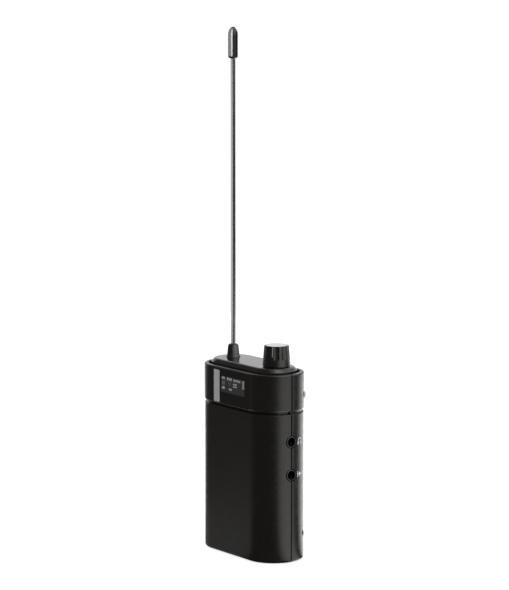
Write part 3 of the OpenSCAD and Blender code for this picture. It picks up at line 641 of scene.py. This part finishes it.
def arrow_to_bar(z):
    tip, neck, end = ARROW_U
    head, shaft = ARROW_HALF
    lower = [(neck, -head), (neck, -shaft), (end, -shaft)]
    upper = [(across, -rise) for across, rise in reversed(lower)]
    arrow = [(across, z + rise) for across, rise in [(tip, 0), *lower, *upper]]
    u, width, height = STOP_BAR
    return [arrow, bar(u, z, width, height)]


def key_outline(key, x, z):
    """A square on the set key, a triangle on the others."""
    if key == "set":
        width, corner = KEY_SQUARE
        return rounded(x, z, width, width, corner)
    half, drop, rise = KEY_TRIANGLE
    up = 1 if key == "up" else -1
    return [(x - half, z - up * drop), (x + half, z - up * drop), (x, z + up * rise)]


# Pieces

def add_piece(name, shape, finish, body):
    """A closed piece, from a mesh that is being edited, that rides on a body."""
    mesh = bpy.data.meshes.new(name)
    bmesh.ops.recalc_face_normals(shape, faces=shape.faces)
    shape.to_mesh(mesh)
    shape.free()
    mesh.materials.append(finish)
    piece = bpy.data.objects.new(name, mesh)
    SCENE.collection.objects.link(piece)
    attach(piece, body)


def slice_up(shape):
    """Cuts flat prints across at an even pitch, so that they can follow a round surface."""
    count = int(max(abs(corner.co.x) for corner in shape.verts) / INK_SLICE)
    for i in range(-count, count + 1):
        everything = [*shape.verts, *shape.edges, *shape.faces]
        bmesh.ops.bisect_plane(shape, geom=everything, dist=INK_NEAR,
                               plane_co=(i * INK_SLICE, 0, 0), plane_no=(1, 0, 0))


def stamp(name, outlines, place, finish, body, bend=False):
    """Thin raised prints: each outline becomes a closed prism on the surface that place() gives."""
    shape = bmesh.new()
    for outline in outlines:
        low, high = [[shape.verts.new((u, v, lift)) for u, v in outline] for lift in (-INK_SUNK, INK_PROUD)]
        shape.faces.new(low)
        shape.faces.new(high)
        for i in range(len(outline)):
            shape.faces.new((low[i - 1], low[i], high[i], high[i - 1]))
    if bend:
        slice_up(shape)
    for corner in shape.verts:
        corner.co = Vector(place(*corner.co)) * MM
    add_piece(name, shape, finish, body)


def on_front(y):
    return lambda u, v, lift: (u, y - lift, v)


def on_round(x, y, r, middle):
    """A vertical round surface about (x, y), with u measured along it from an azimuth in degrees."""
    def place(u, v, lift):
        turn = math.radians(middle) + u / r
        return (x + (r + lift) * math.cos(turn), y + (r + lift) * math.sin(turn), v)
    return place


def make_display(finishes):
    panel = on_front(PANEL_Y)
    strip = [rounded(*PANEL_STRIP)]
    stamp("panel_strip", strip, panel, finishes["strip_silver"], "case")
    window = [rounded(*SCREEN_WINDOW)]
    stamp("screen_window", window, panel, finishes["screen_glass"], "case")


def make_screen_marks(finishes):
    """Generic level bars and fields on the display."""
    glass = on_front(PANEL_Y - INK_PROUD)
    bright = [bar(*field) for field in SCREEN_FIELDS]
    for row in SCREEN_ROWS:
        bright += bar_row(*row)
    stamp("screen_marks", bright, glass, finishes["ink_grey"], "case")
    dim = [bar(*DIM_FIELD), open_ring(*DIM_DIAL)]
    stamp("screen_marks_dim", dim, glass, finishes["ink_dim"], "case")


def make_pictograms(finishes):
    """A headphone and an arrow to a bar, each beside its socket."""
    side = on_round(ROUND_END_X, 0, BODY_R, PICTOGRAM_AZIMUTH)
    pictograms = {
        "pictogram_headphone": headphone(HEADPHONE_Z - HEADPHONE_DROP),
        "pictogram_line": arrow_to_bar(LINE_Z),
    }
    for name, outlines in pictograms.items():
        stamp(name, outlines, side, finishes["inlay_white"], "case", bend=True)


def make_key_marks(finishes):
    for key in KEYS:
        middle = middle_mm(key + "_key")
        front = on_front(box_mm(key + "_key")[0].y)
        outlines = [key_outline(key, middle.x, middle.z)]
        stamp(key + "_key_mark", outlines, front, finishes["case_black"], "key_" + key)


def make_sleeve(name, x, y, r, ends, finish, body, steps=64):
    """A thin closed band round an upright cylinder."""
    inner, outer = r - INK_SUNK, r + INK_PROUD
    section = [(inner, ends[0]), (outer, ends[0]), (outer, ends[1]), (inner, ends[1])]
    shape = bmesh.new()
    rings = []
    for i in range(steps):
        out = compass(360 * i / steps)
        rings.append([shape.verts.new(Vector((x + q * out.x, y + q * out.y, z)) * MM) for q, z in section])
    for i in range(steps):
        here, there = rings[i - 1], rings[i]
        for a in range(len(section)):
            shape.faces.new((here[a - 1], here[a], there[a], there[a - 1]))
    add_piece(name, shape, finish, body)


def make_cell_marks(finishes):
    """Silver band at each cell's button end, with a plus mark beside it and a minus mark at the other end."""
    for side, button_up in BUTTON_UP.items():
        low, high = box_mm("cell_" + side)
        x, y, _ = (low + high) / 2
        r = (high.y - low.y) / 2
        start, way = (high.z, -1) if button_up else (low.z, 1)
        band = sorted(start + way * reach for reach in CELL_BAND)
        make_sleeve("cell_band_" + side, x, y, r, band, finishes["cell_band"], "case")
        marks = [
            plus(0, start + way * CELL_PLUS, *POLARITY_SIZE),
            bar(0, start + way * CELL_MINUS, *POLARITY_SIZE),
        ]
        front = on_round(x, y, r, FRONT_AZIMUTH)
        stamp("cell_marks_" + side, marks, front, finishes["inlay_white"], "case", bend=True)


# Main

make_camera()
SCENE.view_settings.view_transform = "Standard"
make_world()
make_floor()
for lamp, values in SOFT_BOXES.items():
    make_soft_box(lamp, *values)
for values in PANELS:
    make_panel(*values)
for values in LIP_PATCHES:
    make_patch(LIP_NODE, *values)
FINISHES = make_finishes()
dress_nodes(FINISHES)
make_display(FINISHES)
make_screen_marks(FINISHES)
make_pictograms(FINISHES)
make_key_marks(FINISHES)
make_cell_marks(FINISHES)
